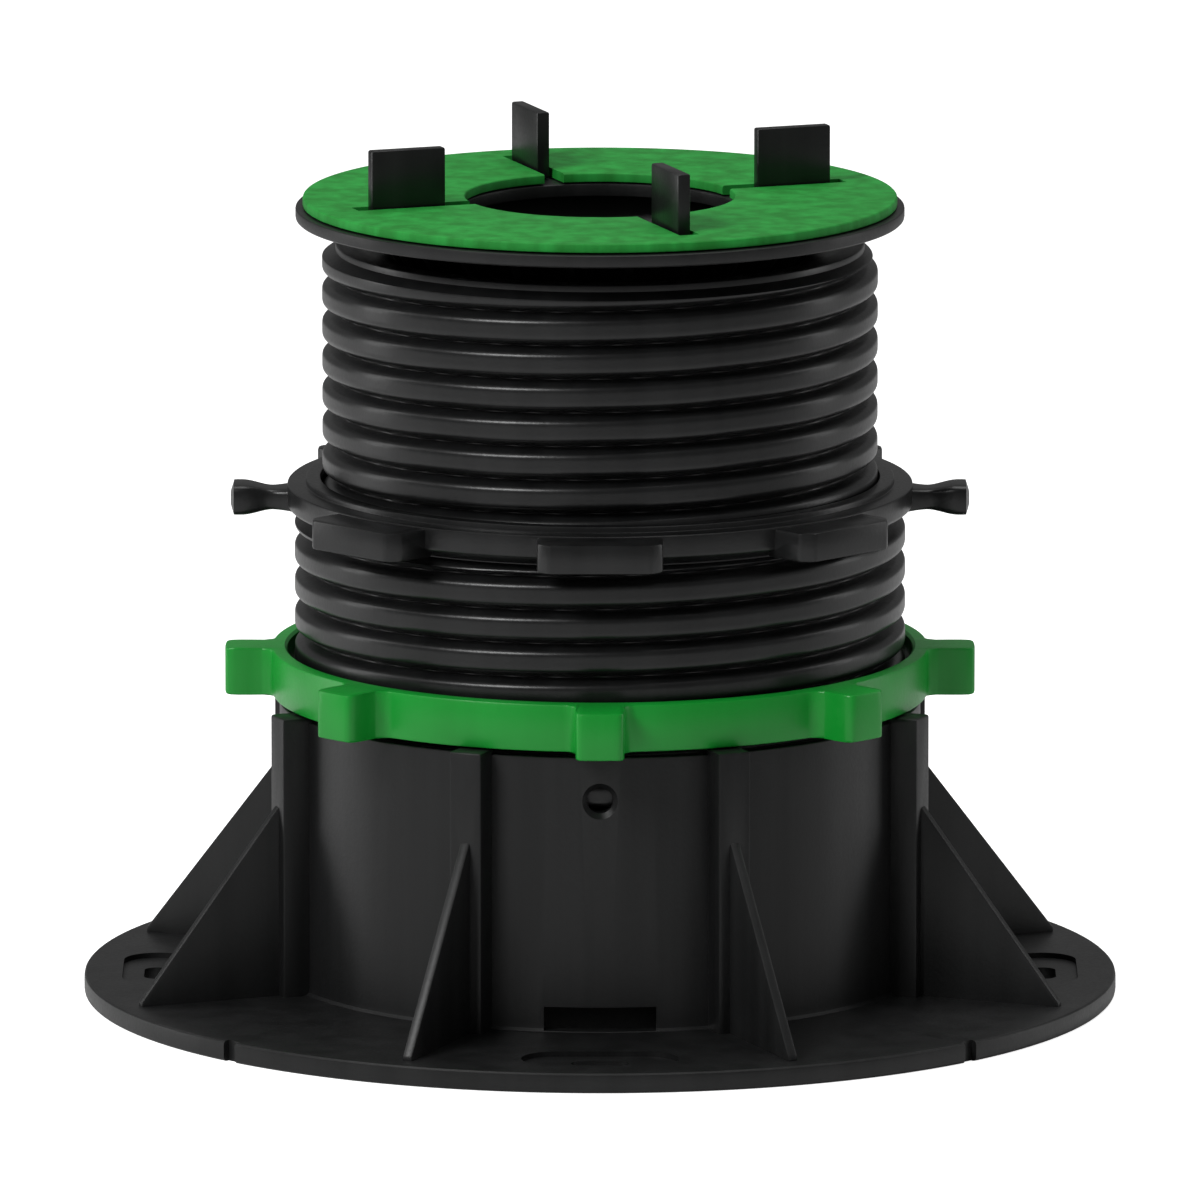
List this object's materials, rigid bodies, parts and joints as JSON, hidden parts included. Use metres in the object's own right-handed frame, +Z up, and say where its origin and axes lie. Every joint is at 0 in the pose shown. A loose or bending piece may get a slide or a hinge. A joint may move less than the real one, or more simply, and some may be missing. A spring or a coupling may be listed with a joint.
{
  "type": "decking pedestal",
  "caption": "Adjustable decking pedestal: flanged base, lock ring, screwed coupler and riser tube, tilting head with pad and spacer tabs.",
  "frame": {"origin": "centre of the flange's underside, on the screws' axis", "axes": "+Z up along the screws' axis, -Y the front with the small round hole"},
  "size_m": [0.2, 0.2, 0.1672],
  "materials": {
    "base_plastic": "moulded, satin black",
    "screw_plastic": "moulded, satin black",
    "tab_plastic": "moulded, satin black",
    "ring_plastic": "moulded, satin green",
    "pad_rubber": "matt green"
  },
  "bodies": {
    "base": {"base": "base_plastic", "base_wall": "base_plastic"},
    "ring": {"lock_ring": "ring_plastic"},
    "coupler": {"coupler": "screw_plastic"},
    "retainer": {"head_retainer": "base_plastic"},
    "tube": {"riser_tube": "screw_plastic"},
    "head": {"head_plate": "base_plastic", "head_pad": "pad_rubber", "spacer_tab_1": "tab_plastic", "spacer_tab_2": "tab_plastic", "spacer_tab_3": "tab_plastic", "spacer_tab_4": "tab_plastic"}
  },
  "joints": [
    {"name": "coupler_turn", "type": "hinge", "parent": "base", "child": "ring", "pos_m": [0, 0, 0.0588], "axis": [0, 0, 1], "range_deg": [-1400, 0]},
    {"name": "coupler_lift", "type": "slide", "parent": "ring", "child": "coupler", "axis": [0, 0, 1], "range_m": [-0.0253, 0]},
    {"name": "tube_lift", "type": "slide", "parent": "coupler", "child": "retainer", "axis": [0, 0, 1], "range_m": [-0.0452, 0]},
    {"name": "tube_turn", "type": "hinge", "parent": "retainer", "child": "tube", "pos_m": [0, 0, 0.0882], "axis": [0, 0, 1], "range_deg": [-2500, 0]},
    {"name": "head_tilt", "type": "hinge", "parent": "retainer", "child": "head", "pos_m": [0, 0, 0.17991], "axis": [0, 1, 0], "range_deg": [-3, 3]}
  ],
  "couplings": [
    {"joint": "coupler_lift", "follows": "coupler_turn", "m_per_rad": 0.0010345},
    {"joint": "tube_lift", "follows": "tube_turn", "m_per_rad": 0.0010345}
  ]
}
